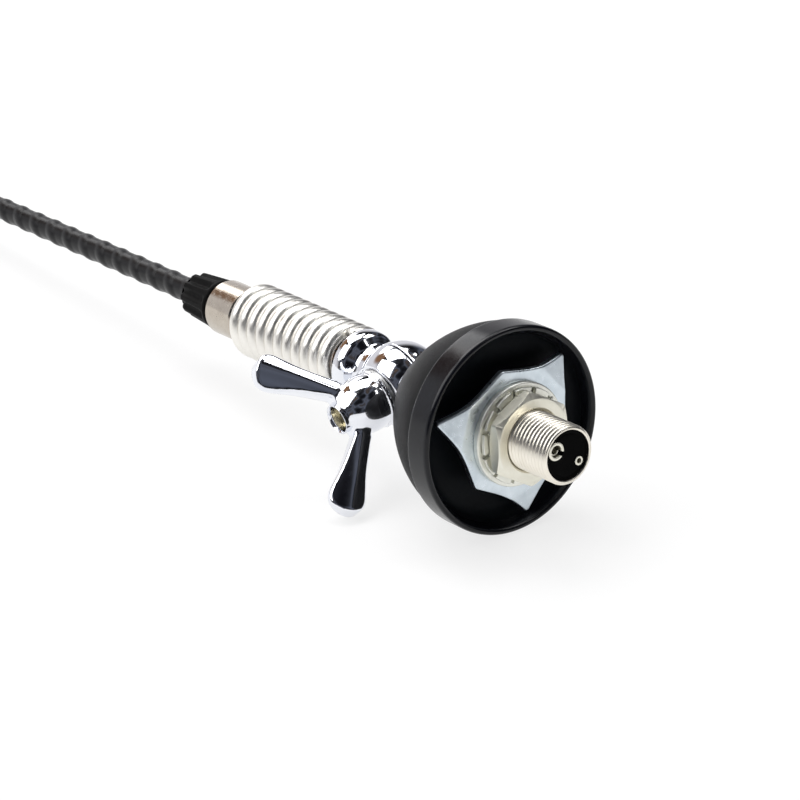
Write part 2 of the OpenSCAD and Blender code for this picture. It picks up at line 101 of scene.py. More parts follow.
def smooth_profile(pts, cuts=0.25):
    """Rounds the corners of an open profile by replacing each with three points."""
    out = [pts[0]]
    for a, b, c in zip(pts, pts[1:], pts[2:]):
        a, b, c = map(np.array, (a, b, c))
        da, dc = np.linalg.norm(a - b), np.linalg.norm(c - b)
        r = min(cuts, 0.4 * da, 0.4 * dc)
        p, q = b + (a - b) / da * r, b + (c - b) / dc * r
        for t in (0.0, 0.25, 0.5, 0.75, 1.0):
            out.append(tuple((1 - t) ** 2 * p + 2 * t * (1 - t) * b + t * t * q))
    out.append(pts[-1])
    return out


def curve(pts, per=6):
    """A smooth line through points, as points."""
    p = np.array([pts[0]] + list(pts) + [pts[-1]], float)
    out = []
    for a, b, c, d in zip(p, p[1:], p[2:], p[3:]):
        for u in np.arange(per) / per:
            out.append(tuple(0.5 * (2 * b + (c - a) * u + (2 * a - 5 * b + 4 * c - d) * u * u + (3 * b - a - 3 * c + d) * u ** 3)))
    out.append(tuple(p[-1]))
    return out


def lathe(name, profile, segs=128, centre=(0, 0), closed=False, sharp=30.0, round_r=0.0, ripple=None):
    """Turns a profile of (radius, height) points round Z."""
    prof = smooth_profile(profile, round_r) if round_r else list(profile)
    n, verts, faces = len(prof), [], []
    for i in range(segs):
        a = TAU * i / segs
        for j, (r, z) in enumerate(prof):
            rr = r if ripple is None else ripple(r, z, a)
            verts.append((centre[0] + rr * math.cos(a), centre[1] + rr * math.sin(a), z))
    last = n if closed else n - 1
    for i in range(segs):
        k = (i + 1) % segs
        for j in range(last):
            m = (j + 1) % n
            faces.append((i * n + j, k * n + j, k * n + m, i * n + m))
    ob = make(name, verts, faces, 0)
    me = ob.data
    import bmesh
    bm = bmesh.new()
    bm.from_mesh(me)
    bmesh.ops.remove_doubles(bm, verts=bm.verts, dist=1e-7)
    bmesh.ops.recalc_face_normals(bm, faces=bm.faces)
    bm.to_mesh(me)
    bm.free()
    me.polygons.foreach_set("use_smooth", [True] * len(me.polygons))
    if sharp:
        me.set_sharp_from_angle(angle=math.radians(sharp))
    return ob


def surface(name, rows, sharp=0, caps=True, wrap=True):
    """A skin over rows of points; each row is closed round, rows run along the piece."""
    rows = np.asarray(rows, float)
    m, n = rows.shape[:2]
    verts = rows.reshape(-1, 3)
    faces = []
    for i in range(m - 1):
        for j in range(n if wrap else n - 1):
            k = (j + 1) % n
            faces.append((i * n + j, i * n + k, (i + 1) * n + k, (i + 1) * n + j))
    if caps:
        faces.append(tuple(reversed(range(n))))
        faces.append(tuple(range((m - 1) * n, m * n)))
    return make(name, verts, faces, sharp)


def tube(name, path, radius, sides=12, up=(0, 0, 1)):
    """A wire of round section along points."""
    p = np.asarray(path, float)
    t = np.gradient(p, axis=0)
    t /= np.linalg.norm(t, axis=1)[:, None]
    side = np.cross(t, np.array(up, float))
    side /= np.linalg.norm(side, axis=1)[:, None]
    lift = np.cross(side, t)
    a = np.arange(sides) / sides * TAU
    r = np.broadcast_to(np.asarray(radius, float), (len(p),))
    rows = p[:, None] + r[:, None, None] * (np.cos(a)[None, :, None] * side[:, None] + np.sin(a)[None, :, None] * lift[:, None])
    return surface(name, rows)


# ---------- signed distance pieces, for cast and bent forms ----------

def poly_sdf(px, py, poly):
    """Signed distance from points to a closed polygon."""
    d = np.full(px.shape, 1e9)
    inside = np.zeros(px.shape, bool)
    n = len(poly)
    for i in range(n):
        ax, ay = poly[i]
        bx, by = poly[(i + 1) % n]
        ex, ey = bx - ax, by - ay
        wx, wy = px - ax, py - ay
        t = np.clip((wx * ex + wy * ey) / (ex * ex + ey * ey), 0, 1)
        d = np.minimum(d, (wx - t * ex) ** 2 + (wy - t * ey) ** 2)
        cross = ((ay > py) != (by > py)) & (px < (bx - ax) * (py - ay) / ((by - ay) or 1e-12) + ax)
        inside ^= cross
    d = np.sqrt(d)
    return np.where(inside, -d, d)


def smin(a, b, k):
    h = np.clip(0.5 + 0.5 * (b - a) / k, 0, 1)
    return b + (a - b) * h - k * h * (1 - h)


def smax(a, b, k):
    return -smin(-a, -b, k)


def from_sdf(name, f, lo, hi, h, soft=0.4, calm=5):
    """Surface of f < 0 inside the box, on a grid of step h, pulled onto the surface."""
    ax = [np.arange(lo[i] - 2 * h, hi[i] + 3 * h, h) for i in range(3)]
    grid = np.meshgrid(*ax, indexing="ij")
    val = f(*grid)
    s = val < 0
    shape = tuple(n - 1 for n in s.shape)
    count = np.zeros(shape, np.int8)
    for dx in (0, 1):
        for dy in (0, 1):
            for dz in (0, 1):
                count += s[dx:dx + shape[0], dy:dy + shape[1], dz:dz + shape[2]]
    active = (count > 0) & (count < 8)
    cells = np.argwhere(active)
    number = np.full(shape, -1, np.int64)
    number[active] = np.arange(len(cells))
    total = np.zeros((len(cells), 3))
    hits = np.zeros(len(cells))
    corners = [(x, y, z) for x in (0, 1) for y in (0, 1) for z in (0, 1)]
    for a in corners:
        for axis in range(3):
            if a[axis]:
                continue
            b = tuple(c + (1 if i == axis else 0) for i, c in enumerate(a))
            va = val[cells[:, 0] + a[0], cells[:, 1] + a[1], cells[:, 2] + a[2]]
            vb = val[cells[:, 0] + b[0], cells[:, 1] + b[1], cells[:, 2] + b[2]]
            cut = (va < 0) != (vb < 0)
            t = np.where(cut, va / np.where(cut, va - vb, 1), 0)
            for i in range(3):
                total[:, i] += np.where(cut, a[i] + (t if i == axis else 0), 0)
            hits += cut
    pts = (cells + total / hits[:, None]) * h + np.array([a[0] for a in ax])
    faces = []
    for axis in range(3):
        b, c = [(1, 2), (2, 0), (0, 1)][axis]
        lo_s = [slice(1, -1)] * 3
        hi_s = [slice(1, -1)] * 3
        lo_s[axis], hi_s[axis] = slice(0, -1), slice(1, None)
        cut = np.argwhere(s[tuple(lo_s)] != s[tuple(hi_s)])
        off = np.ones(3, int)
        off[axis] = 0
        cut = cut + off
        one = s[cut[:, 0], cut[:, 1], cut[:, 2]]
        eb, ec = np.zeros(3, int), np.zeros(3, int)
        eb[b], ec[c] = 1, 1
        q = [cut - eb - ec, cut - ec, cut, cut - eb]
        ids = np.stack([number[x[:, 0], x[:, 1], x[:, 2]] for x in q], 1)
        ids[~one] = ids[~one][:, ::-1]
        faces.append(ids)
    e = h * 0.02
    for _ in range(6):
        x, y, z = pts.T
        v = f(x, y, z)
        g = np.stack([f(x + e, y, z) - f(x - e, y, z), f(x, y + e, z) - f(x, y - e, z), f(x, y, z + e) - f(x, y, z - e)], 1) / (2 * e)
        step = (v / np.maximum((g * g).sum(1), 0.2))[:, None] * g
        n = np.linalg.norm(step, axis=1)[:, None]
        pts = pts - step * np.minimum(1, 0.3 * h / np.maximum(n, 1e-12))
    ob = make(name, pts, np.concatenate(faces), 0)
    x, y, z = pts.T
    e = h * soft
    g = np.stack([f(x + e, y, z) - f(x - e, y, z), f(x, y + e, z) - f(x, y - e, z), f(x, y, z + e) - f(x, y, z - e)], 1)
    g /= np.maximum(np.linalg.norm(g, axis=1), 1e-12)[:, None]
    ends = np.empty(2 * len(ob.data.edges), np.int64)
    ob.data.edges.foreach_get("vertices", ends)
    i, j = ends.reshape(-1, 2).T
    for _ in range(calm):
        near = ((g[i] * g[j]).sum(1) > 0.85)[:, None]
        total = g.copy()
        np.add.at(total, i, g[j] * near)
        np.add.at(total, j, g[i] * near)
        g = total / np.maximum(np.linalg.norm(total, axis=1), 1e-12)[:, None]
    if len(ob.data.vertices) == len(g):
        ob.data.normals_split_custom_set_from_vertices(g.tolist())
    return ob


# ---------- materials ----------

def nodes_of(name):
    m = bpy.data.materials.new(name)
    m.use_nodes = True
    t = m.node_tree
    return m, t, t.nodes["Principled BSDF"]


def noise(t, scale, detail=4.0, rough=0.6, stretch=None):
    co = t.nodes.new("ShaderNodeTexCoord")
    src = co.outputs["Object"]
    if stretch:
        mp = t.nodes.new("ShaderNodeMapping")
        mp.inputs["Scale"].default_value = stretch
        t.links.new(src, mp.inputs["Vector"])
        src = mp.outputs["Vector"]
    n = t.nodes.new("ShaderNodeTexNoise")
    n.inputs["Scale"].default_value = scale
    n.inputs["Detail"].default_value = detail
    n.inputs["Roughness"].default_value = rough
    t.links.new(src, n.inputs["Vector"])
    return n.outputs["Fac"]


def ramp(t, fac, stops):
    r = t.nodes.new("ShaderNodeValToRGB")
    e = r.color_ramp.elements
    while len(e) < len(stops):
        e.new(0.5)
    for el, (p, c) in zip(e, stops):
        el.position = p
        el.color = (*c, 1) if len(c) == 3 else c
    t.links.new(fac, r.inputs["Fac"])
    return r.outputs["Color"]


def ranged(t, fac, lo, hi, a=0.3, b=0.7):
    r = t.nodes.new("ShaderNodeMapRange")
    for k, v in (("From Min", a), ("From Max", b), ("To Min", lo), ("To Max", hi)):
        r.inputs[k].default_value = v
    t.links.new(fac, r.inputs["Value"])
    return r.outputs["Result"]


def bump(t, p, fac, strength, distance, other=None):
    b = t.nodes.new("ShaderNodeBump")
    b.inputs["Strength"].default_value = strength
    b.inputs["Distance"].default_value = distance
    t.links.new(fac, b.inputs["Height"])
    if other:
        t.links.new(other, b.inputs["Normal"])
    t.links.new(b.outputs["Normal"], p.inputs["Normal"])
    return b.outputs["Normal"]


def metal(name, dark, light, rough, grain=900.0, bump_s=0.05, bump_d=0.00003, stretch=None):
    """Plated metal: colour clouds, uneven gloss and fine polishing marks."""
    m, t, p = nodes_of(name)
    p.inputs["Metallic"].default_value = 1.0
    cloud = noise(t, 180, 5, 0.6)
    t.links.new(ramp(t, cloud, [(0.3, dark), (0.7, light)]), p.inputs["Base Color"])
    fine = noise(t, grain, 2, 0.5, stretch)
    t.links.new(ranged(t, fine, rough[0], rough[1]), p.inputs["Roughness"])
    bump(t, p, fine, bump_s, bump_d)
    return m


def plastic(name, dark, light, rough, scale, bump_s, bump_d, coat=0.0, spec=0.5, stretch=None):
    m, t, p = nodes_of(name)
    p.inputs["Specular IOR Level"].default_value = spec
    p.inputs["Coat Weight"].default_value = coat
    p.inputs["Coat Roughness"].default_value = 0.12
    cloud = noise(t, scale * 0.15, 4, 0.6)
    t.links.new(ramp(t, cloud, [(0.3, dark), (0.7, light)]), p.inputs["Base Color"])
    fine = noise(t, scale, 5, 0.7, stretch)
    t.links.new(ranged(t, fine, rough[0], rough[1]), p.inputs["Roughness"])
    bump(t, p, fine, bump_s, bump_d)
    return m


CHROME = metal("chrome", (0.80, 0.82, 0.87), (0.87, 0.88, 0.92), (0.05, 0.11), 500, 0.02, 0.00002)
NICKEL = metal("spring_nickel", (0.82, 0.80, 0.75), (0.92, 0.90, 0.85), (0.28, 0.40), 1500, 0.10, 0.00003)
STUD_N = metal("stud_nickel", (0.88, 0.83, 0.72), (0.96, 0.92, 0.83), (0.28, 0.40), 1800, 0.08, 0.00003)
NUT_N = metal("nut_nickel", (0.80, 0.78, 0.67), (0.90, 0.88, 0.78), (0.38, 0.48), 1200, 0.02, 0.00001)
COLLAR_M = metal("collar_nickel", (0.46, 0.41, 0.35), (0.60, 0.55, 0.48), (0.16, 0.28), 1200, 0.06, 0.00003)
ZINC = metal("zinc", (0.56, 0.63, 0.68), (0.74, 0.81, 0.86), (0.26, 0.38), 900, 0.02, 0.00001)
# steel darkened below its own grey as painted shade, so the pivot washer reads as a dark shaded line between hub and
# ball
STEEL_PAINTED_SHADE = metal("steel_painted_shade", (0.30, 0.30, 0.30), (0.42, 0.42, 0.42), (0.25, 0.40), 1100, 0.12, 0.00004)
WASHER_M = metal("washer_nickel", (0.76, 0.76, 0.70), (0.88, 0.88, 0.81), (0.34, 0.46), 1100, 0.10, 0.00004)
# brass darkened below its own tone as painted shade, so the bolt end deep in the wing nut's bore reads dark
BRASS_PAINTED_SHADE = metal("brass_painted_shade", (0.42, 0.35, 0.18), (0.54, 0.46, 0.25), (0.22, 0.36), 1200, 0.10, 0.00003)
COPPER = metal("copper", (0.60, 0.33, 0.20), (0.70, 0.42, 0.27), (0.22, 0.36), 1200, 0.10, 0.00003)
BELL_M = plastic("bell_matte", (0.004, 0.004, 0.005), (0.009, 0.009, 0.010), (0.42, 0.56), 2600, 0.6, 0.00012, 0, 0.12)
RIM_M = plastic("rim_rubber", (0.003, 0.003, 0.005), (0.006, 0.007, 0.010), (0.16, 0.26), 700, 0.06, 0.00005, 0, 0.30)
WEB_M = plastic("recess_black", (0.005, 0.006, 0.008), (0.009, 0.011, 0.013), (0.38, 0.50), 900, 0.1, 0.00005, 0, 0.06)
BLACK_M = plastic("insulator_black", (0.001, 0.001, 0.001), (0.002, 0.002, 0.002), (0.45, 0.60), 900, 0.1, 0.00004, 0, 0.03)
KNOB_M = plastic("knob_satin", (0.003, 0.003, 0.003), (0.006, 0.006, 0.006), (0.40, 0.52), 1500, 0.25, 0.00006, 0, 0.05)
SLEEVE_M = plastic("sleeve_black", (0.002, 0.002, 0.003), (0.005, 0.005, 0.006), (0.26, 0.38), 1100, 0.25, 0.00008, 0, 0.25, (1, 1, 0.25))
FIBRE_M = plastic("fibre", (0.55, 0.52, 0.40), (0.68, 0.65, 0.52), (0.40, 0.55), 1500, 0.2, 0.00005, 0, 0.5, (1, 1, 0.1))
CAP_M = plastic("cap_rubber", (0.010, 0.010, 0.011), (0.018, 0.018, 0.020), (0.42, 0.55), 1500, 0.25, 0.00008)


def paint(ob, mat):
    ob.data.materials.clear()
    ob.data.materials.append(mat)
    return ob


def piece(ob, mat, body, *nodes):
    paint(ob, mat)
    if nodes:
        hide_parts(*nodes)
    if body:
        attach(ob, body)
    return ob


# ---------- base ----------

def bell_r(u):
    return 8.3 + 12.1 * max(1 - u ** 1.55, 0) ** 0.92


prof = [(19.6, BELL_Z + 0.02), (20.1, BELL_Z + 0.02), (20.32, BELL_Z + 0.25)]
prof += [(bell_r(u), BELL_Z + 19.8 * u) for u in np.linspace(0.02, 0.965, 60)]
prof += [(8.9, BELL_TOP - 0.05), (8.4, BELL_TOP), (6.6, BELL_TOP), (6.2, BELL_TOP - 0.6)]
piece(lathe("bell", prof, 192, sharp=50), BELL_M, "base", "base_bell")

boss = lathe("bell_boss", [(6.3, BOSS_Z + 0.6), (6.3, BOSS_Z), (8.6, BOSS_Z), (9.0, BOSS_Z + 0.4), (9.0, 21.6)], 96)
piece(boss, BELL_M, "base")

prof = [(20.3, 23.06), (20.6, 23.04), (20.88, 22.9), (21.02, 22.62), (21.06, 22.2), (21.1, 17.8), (21.04, 17.4),
        (20.86, 17.12), (20.6, 17.0), (20.35, 17.0), (20.12, 17.08), (19.9, 17.3), (19.6, 17.85), (19.25, 18.6),
        (18.95, 19.3)]
piece(lathe("rim", prof, 192, sharp=0, round_r=0.12), RIM_M, "base", "rim_gasket")
prof = curve([(18.95, 19.3), (18.6, 20.1), (18.0, 20.8), (17.0, 21.3), (15.6, 21.5)]) + [(9.0, 21.5)]
piece(lathe("rim_web", prof, 192, sharp=0), WEB_M, "base")


# ---------- threaded stud ----------

def thread(name, r_major, depth, pitch, z0, z1, segs=96, per=12, end0=0.0, end1=0.0):
    """Right-hand thread as a skin, with a chamfer of end0 at the low end and end1 at the high end."""
    rows = []
    for i in range(int((z1 - z0) / pitch * per) + 1):
        z = z0 + i * pitch / per
        a = np.arange(segs) / segs * TAU
        ph = (z / pitch - a / TAU) % 1.0
        w = np.clip(np.abs(ph - 0.5) * 2.6 - 0.15, 0, 1)
        r = r_major - depth * (1 - w) ** 1.15
        if end0:
            r = np.minimum(r, r_major - end0 + (z - z0) * 1.2)
        if end1:
            r = np.minimum(r, r_major - end1 + (z1 - z) * 1.2)
        rows.append(np.stack([r * np.cos(a), r * np.sin(a), np.full(segs, z)], 1))
    return surface(name, rows, caps=False)


stud = piece(thread("stud_thread", 6.0, 0.38, 1.0, 0.02, 17.9, end0=0.5), STUD_N, "base", "stud")
prof = [(5.52, 0.05), (5.42, 0.0), (5.22, 0.0), (5.1, 0.1), (5.1, 3.0)]
piece(lathe("stud_mouth", prof, 128, sharp=40), STUD_N, "base")

LIVE = (3.1 * math.cos(math.radians(-50)), 3.1 * math.sin(math.radians(-50)))
EARTH = (3.3 * math.cos(math.radians(136)), 3.3 * math.sin(math.radians(136)))


def insulator(x, y, z):
    r = np.hypot(x, y)
    body = smax(r - 5.08, smax(0.4 - z, z - 7.5, 0.05), 0.15)
    body = smax(body, -(np.hypot(r - 4.35, z - 0.2) - 0.28), 0.08)
    for (cx, cy), rad in ((LIVE, 1.86), (EARTH, 0.96)):
        body = smax(body, -smax(np.hypot(x - cx, y - cy) - rad, z - 6.4, 0.05), 0.08)
    return body


piece(from_sdf("insulator", insulator, (-5.1, -5.1, 0.2), (5.1, 5.1, 7.6), 0.13), BLACK_M, "base", "stud_insulator")


def live(x, y, z):
    dx, dy = x - LIVE[0], y - LIVE[1]
    r = np.hypot(dx, dy)
    a = math.radians(130)
    along, across = dx * math.cos(a) + dy * math.sin(a), -dx * math.sin(a) + dy * math.cos(a)
    wall = smax(smax(r - 1.85, 1.2 - r, 0.12), smax(0.15 - z, z - 8.5, 0.12), 0.16)
    wall = smax(wall, -smax(np.abs(across) - 0.4, -along, 0.05), 0.1)
    floor = smax(r - 1.7, np.abs(z - 7.0) - 0.6, 0.05)
    leaf = smax(np.abs(r - 0.85) - 0.14, smax(-along * 0.3 - across - 0.1, np.abs(z - 3.8) - 3.0, 0.1), 0.08)
    return np.minimum(np.minimum(wall, floor), leaf)


def earth(x, y, z):
    r = np.hypot(x - EARTH[0], y - EARTH[1])
    return np.minimum(smax(smax(r - 0.95, 0.5 - r, 0.08), smax(0.22 - z, z - 7.0, 0.08), 0.1), smax(r - 0.9, np.abs(z - 6.6) - 0.3, 0.05))


piece(from_sdf("live_socket", live, (LIVE[0] - 1.9, LIVE[1] - 1.9, 0.1), (LIVE[0] + 1.9, LIVE[1] + 1.9, 8.5), 0.1), NUT_N, "base", "live_contact")
piece(from_sdf("earth_socket", earth, (EARTH[0] - 1, EARTH[1] - 1, 0.2), (EARTH[0] + 1, EARTH[1] + 1, 7.0), 0.08), NUT_N, "base", "earth_contact")


# ---------- clamp stack ----------

def washer_profile(r_in, r_out, z, t, edge):
    return [(r_in, z + edge), (r_in + edge, z), (r_out - edge, z), (r_out, z + edge), (r_out, z + t - edge),
            (r_out - edge, z + t), (r_in + edge, z + t), (r_in, z + t - edge)]


def claw(x, y, z):
    a = math.asin(4.3 / 13.3)
    rr = 13.3 * math.cos(a)
    star = []
    for k in range(3):
        def at(deg, r):
            b = math.radians(120 * k + deg)
            return np.array((r * math.cos(b), r * math.sin(b)))
        root0, root1 = at(60 - math.degrees(a), 13.3), at(60 + math.degrees(a), 13.3)
        tip0, tip1 = at(58.9, 18.2), at(61.1, 18.2)
        star += [at(-1.2, 13.36), at(1.2, 13.36)]
        for p0, c, p1 in ((at(0, 13.4) * 0.45 + root0 * 0.55, root0, root0 * 0.4 + tip0 * 0.6), (root1 * 0.4 + tip1 * 0.6, root1, at(120, 13.4) * 0.45 + root1 * 0.55)):
            star += [(1 - u) ** 2 * p0 + 2 * u * (1 - u) * c + u * u * p1 for u in (0, 0.2, 0.4, 0.6, 0.8, 1)]
            if c is root0:
                star += [tip0, tip1]
    star = [tuple(q) for q in star]
    out = poly_sdf(x, y, star)
    lift = np.zeros(x.shape)
    for k in range(3):
        b = math.radians(120 * k + 60)
        u = x * math.cos(b) + y * math.sin(b) - rr
        lift = np.maximum(lift, np.where(u > 0, 0.345 * (np.sqrt(u * u + 0.12) - 0.346), 0))
    plate = np.abs(z - CLAW_Z - 0.75 - lift) - 0.75
    f = smax(out, plate * 0.96, 0.3)
    return smax(f, 6.3 - np.hypot(x, y), 0.2)


piece(from_sdf("claw_plate", claw, (-18.4, -16.2, 15.9), (13.4, 16.2, 19.6), 0.16, calm=2), ZINC, "clamp_stack", "claw_washer")
piece(lathe("flat_ring", washer_profile(6.3, 10.5, WASHER_Z, 1.4, 0.18), 160, closed=True, round_r=0.1), WASHER_M, "clamp_stack", "flat_washer")


def lock(x, y, z):
    r, a = np.hypot(x, y), np.arctan2(y, x)
    n = 12
    s = (a / TAU * n) % 1.0 - 0.5
    arc = s * TAU / n * r
    twist = arc * 0.07 * np.clip((r - 7.8) / 0.8, 0, 1)
    plate = np.abs(z - LOCK_Z - 0.5 - twist) - 0.38
    gap = smax(8.3 - r, np.abs(np.abs(s) - 0.5) * TAU / n * r - 0.45, 0.3)
    body = smax(smax(r - 9.7, 6.35 - r, 0.1), plate * 0.85, 0.15)
    return smax(body, -gap, 0.12)


piece(from_sdf("lock_teeth", lock, (-9.8, -9.8, 12.9), (9.8, 9.8, 15.1), 0.16, calm=1), WASHER_M, "clamp_stack", "lock_washer")

NUT_ANGLE = math.radians(12)


def nut_rows():
    """Closed rings round the nut: the bore, its mouth, the chamfered face, the flats, and back."""
    a = np.arange(384) / 384 * TAU
    off = (a - NUT_ANGLE) % (TAU / 6) - TAU / 12
    flats = 8.5 / np.cos(off)
    rings = [(6.06, 1.5), (6.06, 0.45), (6.1, 0.36), (6.45, 0.06), (6.55, 0.0), (7.2, 0.0), (7.9, 0.0), (8.3, 0.0), (8.38, 0.02)]
    rings += [(8.4 + 1.7 * (u - 0.03), u) for u in np.arange(0.03, 0.9, 0.04)]
    rings += [(20.0, 0.95), (20.0, 1.5)]
    rings += [(r, 3.0 - u) for r, u in reversed(rings[:-1])]
    rows = []
    for r, u in rings:
        rr = np.minimum(flats, r)
        rr = rr - 0.10 * np.exp(-((np.abs(off) - TAU / 12) / 0.02) ** 2) * (rr > 8.6)
        rows.append(np.stack([rr * np.cos(a), rr * np.sin(a), np.full(len(a), NUT_Z + u)], 1))
    return rows


piece(surface("nut_body", nut_rows(), sharp=22, caps=False), NUT_N, "clamp_nut", "clamp_nut")


# ---------- tilt joint ----------

def around_pivot(x, y, z):
    """Distance from the pivot axis."""
    return np.hypot(x, z - PIVOT_Z)


def lower(x, y, z):
    q = around_pivot(x, y, z)
    ball = np.sqrt(q * q + y * y) - BALL_R
    half = smax(ball, smax(0.15 - y, y - BACK_Y, 0.1), 0.35)
    post = smax(smax(np.hypot(x, y) - 6.5, 0.15 - y, 0.2), smax(BELL_TOP - 0.2 - z, z - PIVOT_Z, 0.1), 0.2)
    half = smin(half, smax(post, y - BACK_Y, 0.3), 0.9)
    foot = smax(np.hypot(x, y) - 6.5, smax(BELL_TOP - 0.2 - z, z - BELL_TOP - 3.0, 0.1), 0.35)
    foot = smax(foot, -(np.sqrt(q * q + y * y) - BALL_R - 0.35), 0.25)
    both = smin(half, foot, 0.4)
    both = smax(both, 0.15 - y + np.where(z < PIVOT_Z - 5.0, 20.0, 0.0) * 0 - np.where(z < PIVOT_Z - 5.5, 50.0, 0.0), 0.15)
    head = smax(np.maximum(np.abs(x), np.abs(z - PIVOT_Z) * 0.866 + np.abs(x) * 0.5) - 4.05, BACK_Y - 2.6 - y, 0.1)
    return smax(both, -head, 0.2)


piece(from_sdf("knuckle_low", lower, (-8.7, -6.6, BELL_TOP - 0.3), (8.7, 7.0, PIVOT_Z + 8.7), 0.2, calm=0), CHROME, "base", "lower_knuckle")

SHOULDER = [(0, 55.0), (5.2, 55.0)] + curve([(5.2, 60.0), (5.22, 60.6), (5.5, 61.3), (6.25, 61.95), (7.0, 62.6), (7.48, 63.4), (7.68, 64.4)]) + [
    (7.68, 65.35), (7.5, 65.5), (0, 65.5)]


def upper(x, y, z):
    q = around_pivot(x, y, z)
    d3 = np.sqrt(q * q + y * y)
    half = smax(d3 - BALL_R, smax(-y - SEAT_Y, y + 0.15, 0.1), 0.35)
    neck = poly_sdf(np.hypot(x, y), z, [(-20, 55.0)] + SHOULDER[1:-1] + [(-20, 65.5)])
    room = smax(d3 - BALL_R - 0.35, -0.15 - y, 0.1)
    neck = smax(neck, -room, 0.25)
    neck = smax(neck, -y - SEAT_Y + np.where(z > 60.7, -50.0, 0.0), 0.2)
    both = smin(half, neck, 0.3)
    return smax(both, 2.56 - np.where(y < 0, q, 50.0), 0.2)


piece(from_sdf("knuckle_high", upper, (-8.7, -8.7, PIVOT_Z - 8.7), (8.7, 8.0, 65.6), 0.2, calm=0), CHROME, "mast_foot", "upper_knuckle")

# the pivot washer carries painted shade: its steel is darkened to read as the shaded gap between hub and ball
pw = lathe("pivot_ring", washer_profile(2.8, 5.9, 0, 0.9, 0.12), 128, closed=True, round_r=0.08)
pw.data.transform(Matrix.Translation((0, -(SEAT_Y + 0.05) * MM, PIVOT_Z * MM)) @ Matrix.Rotation(math.radians(90), 4, "X"))
piece(pw, STEEL_PAINTED_SHADE, "pivot_washer", "pivot_washer")

HUB = [(6.2, 0), (6.2, 0.7)] + curve([(5.86, 0.9), (5.95, 2.5), (5.8, 4.2), (5.35, 5.9), (4.6, 7.4), (3.8, 8.5), (3.3, 9.1), (3.2, 9.6)]) + [(3.2, 10.1)]
BLADE = [(2.2, 4.6), (6.1, 5.5), (8.1, 7.2), (12.1, 10.8), (15.6, 13.4), (17.6, 14.9), (18.4, 16.6), (18.0, 18.4),
         (16.4, 20.2), (14.2, 21.2), (12.6, 21.0), (11.0, 19.6), (8.2, 15.0), (5.0, 10.6), (3.6, 9.0), (2.2, 8.6)]


OUTLINE = curve(BLADE, 5)


def wing(x, y, z):
    """The nut in its own frame: Z out along the hub, wings along +X and -X."""
    r = np.hypot(x, y)
    hub = poly_sdf(r, z, [(-20, 0)] + HUB + [(-20, 10.1)]) + 0.05
    ax = np.abs(x)
    flat = poly_sdf(ax, z, OUTLINE) + 0.35
    # ridge line along the middle of the wing
    v = -(ax - 2.94) * 0.664 + (z - 5.56) * 0.748
    u = (ax - 2.94) * 0.748 + (z - 5.56) * 0.664
    s = (np.sqrt(v * v + 0.05) - 0.22) / 4.6
    half_t = np.maximum((2.28 - 1.5 * s * (0.72 + 0.28 * s)) * (1 - 0.0006 * (u - 8) ** 2), 0.3)
    blade = smax(flat, (np.abs(y) - half_t) * 0.92, 0.45)
    f = smin(hub, blade, 0.9)
    f = smax(f, -z, 0.15)
    return smax(f, 2.56 + np.maximum(z - 9.5, 0) * 0.6 - r, 0.15)


wn = from_sdf("wing_cast", wing, (-18.6, -6.3, 0), (18.6, 6.3, 21.4), 0.24)
turn = Matrix.Rotation(math.radians(-38), 4, "Y") @ Matrix.Rotation(math.radians(90), 4, "X")
wn.data.transform(Matrix.Translation((0, -WING_Y * MM, PIVOT_Z * MM)) @ turn)
piece(wn, CHROME, "wing_nut", "wing_nut")

# the bolt's thread, seen inside the wing nut's bore, wears the darkened brass as painted shade
pb = thread("bolt_thread", 2.5, 0.3, 0.8, 0, 21.0, 48, 10, end1=0.5)
cap_pts = [(0.0, 21.0), (2.0, 21.0)]
pb.data.transform(Matrix.Translation((0, (6.4) * MM, PIVOT_Z * MM)) @ Matrix.Rotation(math.radians(90), 4, "X"))
piece(pb, BRASS_PAINTED_SHADE, "base")
paint(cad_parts["pivot_bolt"], BRASS_PAINTED_SHADE)

# ---------- spring ----------

n = int(TURNS * 56)
a = np.arange(n + 1) / 56 * TAU
zc = SPRING_Z + WIRE_R + PITCH * a / TAU
path = np.stack([(SPRING_R - WIRE_R) * np.cos(a), (SPRING_R - WIRE_R) * np.sin(a), zc], 1)
sp = tube("spring_wire", path, WIRE_R, 20)
piece(sp, NICKEL, None, "spring")
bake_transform(sp)



def braid_rows():
    """A flat-woven wire rope: strands that cross each other round the rope."""
    a = np.arange(48) / 48 * TAU
    rows = []
    for z in np.arange(SPRING_Z + 2.0, COLLAR_Z - 1.99, 0.25):
        r = 1.22 + 0.04 * (np.cos(6 * a + TAU * z / 5) + np.cos(6 * a - TAU * z / 5))
        rows.append(np.stack([r * np.cos(a), r * np.sin(a), np.full(len(a), z)], 1))
    return rows


braid = piece(surface("braid_rope", braid_rows()), COPPER, None, "bonding_braid")
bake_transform(braid)

# ---------- collar, seal and knob ----------

prof = [(2.6, COLLAR_Z - 0.0), (5.5, COLLAR_Z), (5.8, COLLAR_Z + 0.3), (5.8, COLLAR_TOP - 0.6), (5.3, COLLAR_TOP), (2.6, COLLAR_TOP)]
piece(lathe("collar_ring", prof, 128, round_r=0.15), COLLAR_M, "mast_collar")
paint(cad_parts["collar"], COLLAR_M)
piece(lathe("seal_ring", washer_profile(2.8, 4.6, COLLAR_TOP + 0.05, 0.6, 0.12), 96, closed=True, round_r=0.08), CAP_M, "knob_seal", "knob_seal")

FLUTES = 10


